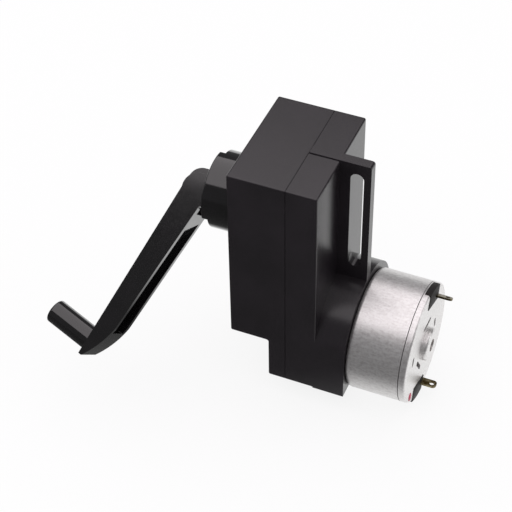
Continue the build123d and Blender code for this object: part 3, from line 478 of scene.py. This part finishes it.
def makeInsulator(angleDeg):
    # board that shows in a window of the cap and runs out over its rim: a disc cut down to the window's width
    look = insulatorLook
    low = look["rearMm"] - look["depthMm"]
    high = look["rearMm"] + look["proudMm"]
    bpy.ops.mesh.primitive_cylinder_add(vertices=look["sides"], radius=look["rimMm"] * mm, depth=(high - low) * mm,
                                        location=((low + high) / 2 * mm, 0, look["axisHeightMm"] * mm),
                                        rotation=(0, math.pi / 2, 0))
    board = startPiece("rimInsulator")
    applyPlace(board)
    outward = Vector((0, math.cos(math.radians(angleDeg)), math.sin(math.radians(angleDeg))))
    sideways = Vector((1, 0, 0)).cross(outward)
    centre = Vector((look["rearMm"], 0, look["axisHeightMm"]))
    cuts = [(centre + outward * look["chordMm"], outward), (centre - sideways * look["halfWidthMm"], sideways),
            (centre + sideways * look["halfWidthMm"], -sideways)]
    for spot, keepSide in cuts:
        editAll(board)
        bpy.ops.mesh.bisect(plane_co=spot * mm, plane_no=keepSide, use_fill=True, clear_inner=True)
        endEdit()
    applyModifier(board, "BEVEL", {"width": look["edgeMm"] * mm, "segments": look["edgeSteps"],
                                   "limit_method": "ANGLE", "angle_limit": math.radians(look["sharpAboveDeg"])})
    return board


insulators = joinPieces([makeInsulator(angle) for angle in insulatorLook["anglesDeg"]], "rimInsulators")
finishPiece(insulators, "housing", materials["phenolic"])

# the stretch is along Y and Z, and the dome is cut this far under its middle
markLook = {"placeMm": (36.0, -8.3, -33.2), "radiusMm": 0.9, "heightMm": 0.25, "stretch": (0.8, 1.15),
            "segments": 28, "rings": 14, "cutMm": 0.05, "weldMm": 0.0001}


def makePolarityMark():
    # a dab of paint beside the lower terminal: a dome squashed flat and drawn out a little
    look = markLook
    bpy.ops.mesh.primitive_uv_sphere_add(segments=look["segments"], ring_count=look["rings"],
                                         radius=look["radiusMm"] * mm)
    dab = startPiece("polarityMark")
    dab.scale = (look["heightMm"] / look["radiusMm"], *look["stretch"])
    dab.location = [v * mm for v in look["placeMm"]]
    applyPlace(dab)
    editAll(dab)
    # the cut's own threshold of 0.1 mm would tear so small a piece
    bpy.ops.mesh.bisect(plane_co=Vector(look["placeMm"]) * mm - Vector((look["cutMm"] * mm, 0, 0)),
                        plane_no=(1, 0, 0), use_fill=True, clear_inner=True, threshold=look["weldMm"] * mm)
    endEdit()
    return dab


finishPiece(makePolarityMark(), "housing", makeFinish("redLacquer"))
print("pieces made")

deselectAll()
# the floor's painted reflection turns from grey in front to white behind, between two places that slant across it
floorLook = {"sizeM": 6.0, "gapMm": 0.2, "colour": "#e9e9ea", "whiteShare": 0.86, "frontGloss": 0.10,
             "backGloss": 1.0, "turnMm": (-15.0, 3.0), "slant": 0.35}


def makeFloor():
    look = floorLook
    lowest = cadBox[0][2]
    bpy.ops.mesh.primitive_plane_add(size=look["sizeM"], location=(0, 0, lowest - look["gapMm"] * mm))
    floor = startPiece("floor")
    applyPlace(floor)
    material = bpy.data.materials.new("paintedFloor")
    tree = emptyTree(material)
    place = addNode(tree, "ShaderNodeTexCoord").outputs["Object"]
    parts = addNode(tree, "ShaderNodeSeparateXYZ", links={0: place})
    depth = addNode(tree, "ShaderNodeMath", {"operation": "MULTIPLY_ADD", 1: look["slant"]},
                    {0: parts.outputs["X"], 2: parts.outputs["Y"]})
    front, back = look["turnMm"]
    grade = addNode(tree, "ShaderNodeMapRange", {"From Min": front * mm, "From Max": back * mm,
                                                 "To Min": look["frontGloss"], "To Max": look["backGloss"]},
                    {"Value": depth.outputs["Value"]})
    paint = addNode(tree, "ShaderNodeBsdfDiffuse", {"Color": toLinear(look["colour"])})
    white = addNode(tree, "ShaderNodeEmission", {"Color": (1, 1, 1, 1), "Strength": 1.0})
    # painted reflection: an emission that only glossy rays see, grey in front and white behind, not lit by any lamp
    paintedReflection = addNode(tree, "ShaderNodeEmission", {"Color": (1, 1, 1, 1)}, {"Strength": grade.outputs["Result"]})
    rays = addNode(tree, "ShaderNodeLightPath")
    seen = addNode(tree, "ShaderNodeMath", {"operation": "MULTIPLY", 1: look["whiteShare"]},
                   {0: rays.outputs["Is Camera Ray"]})
    plain = addNode(tree, "ShaderNodeMixShader", links={"Fac": seen.outputs["Value"], 1: paint.outputs["BSDF"],
                                                        2: white.outputs["Emission"]})
    glossy = addNode(tree, "ShaderNodeMixShader", links={"Fac": rays.outputs["Is Glossy Ray"],
                                                         1: plain.outputs["Shader"],
                                                         2: paintedReflection.outputs["Emission"]})
    addNode(tree, "ShaderNodeOutputMaterial", links={"Surface": glossy.outputs["Shader"]})
    floor.data.materials.append(material)


makeFloor()

# places and sizes in metres; a level lamp faces straight down, and the other one faces the crank's hub
softboxes = {
    "overheadSoftbox": {"place": (-0.20, 0.06, 0.70), "size": (1.2, 1.48), "power": 7.0, "colour": "#fff8fb",
                        "level": True},
    "rightSoftbox": {"place": (0.75, 0.25, 0.30), "size": (0.55, 0.55), "power": 1.2, "colour": "#ffffff",
                     "level": False},
}
lookAt = Vector((0.0, 0.0, -0.01))
for name, box in softboxes.items():
    bpy.ops.object.light_add(type="AREA", location=box["place"])
    lamp = startPiece(name)
    lamp.data.shape = "RECTANGLE"
    lamp.data.size, lamp.data.size_y = box["size"]
    lamp.data.energy = box["power"]
    lamp.data.color = toLinear(box["colour"])[:3]
    if not box["level"]:
        lamp.rotation_euler = (lookAt - Vector(box["place"])).to_track_quat("-Z", "Y").to_euler()

worldLook = {"light": 0.6, "reflected": 0.16, "colour": "#f4f4f6"}


def makeWorld():
    # white to the camera, an even soft light on the object and a dim room in its reflections
    look = worldLook
    world = bpy.data.worlds.new("studio")
    bpy.context.scene.world = world
    tree = emptyTree(world)
    rays = addNode(tree, "ShaderNodeLightPath")
    soft = addNode(tree, "ShaderNodeBackground", {"Color": toLinear(look["colour"]), "Strength": look["light"]})
    room = addNode(tree, "ShaderNodeBackground", {"Color": toLinear(look["colour"]), "Strength": look["reflected"]})
    white = addNode(tree, "ShaderNodeBackground", {"Color": (1, 1, 1, 1), "Strength": 1.0})
    lit = addNode(tree, "ShaderNodeMixShader", links={"Fac": rays.outputs["Is Glossy Ray"],
                                                      1: soft.outputs["Background"],
                                                      2: room.outputs["Background"]})
    seen = addNode(tree, "ShaderNodeMixShader", links={"Fac": rays.outputs["Is Camera Ray"],
                                                       1: lit.outputs["Shader"], 2: white.outputs["Background"]})
    addNode(tree, "ShaderNodeOutputWorld", links={"Surface": seen.outputs["Shader"]})


makeWorld()

cameraSetup = {"placeMm": (94.4, -214.8, 208.8), "turnDeg": (46.276, 0.739, 22.963), "lensMm": 115.9,
               "sensorMm": 36.0, "nearMm": 10.0}
bpy.ops.object.camera_add(location=[v * mm for v in cameraSetup["placeMm"]],
                          rotation=[math.radians(v) for v in cameraSetup["turnDeg"]])
camera = bpy.context.object
camera.data.lens = cameraSetup["lensMm"]
camera.data.sensor_width = cameraSetup["sensorMm"]
camera.data.clip_start = cameraSetup["nearMm"] * mm
bpy.context.scene.camera = camera
bpy.context.scene.view_settings.view_transform = "Standard"
print("floor, lamps and camera placed")
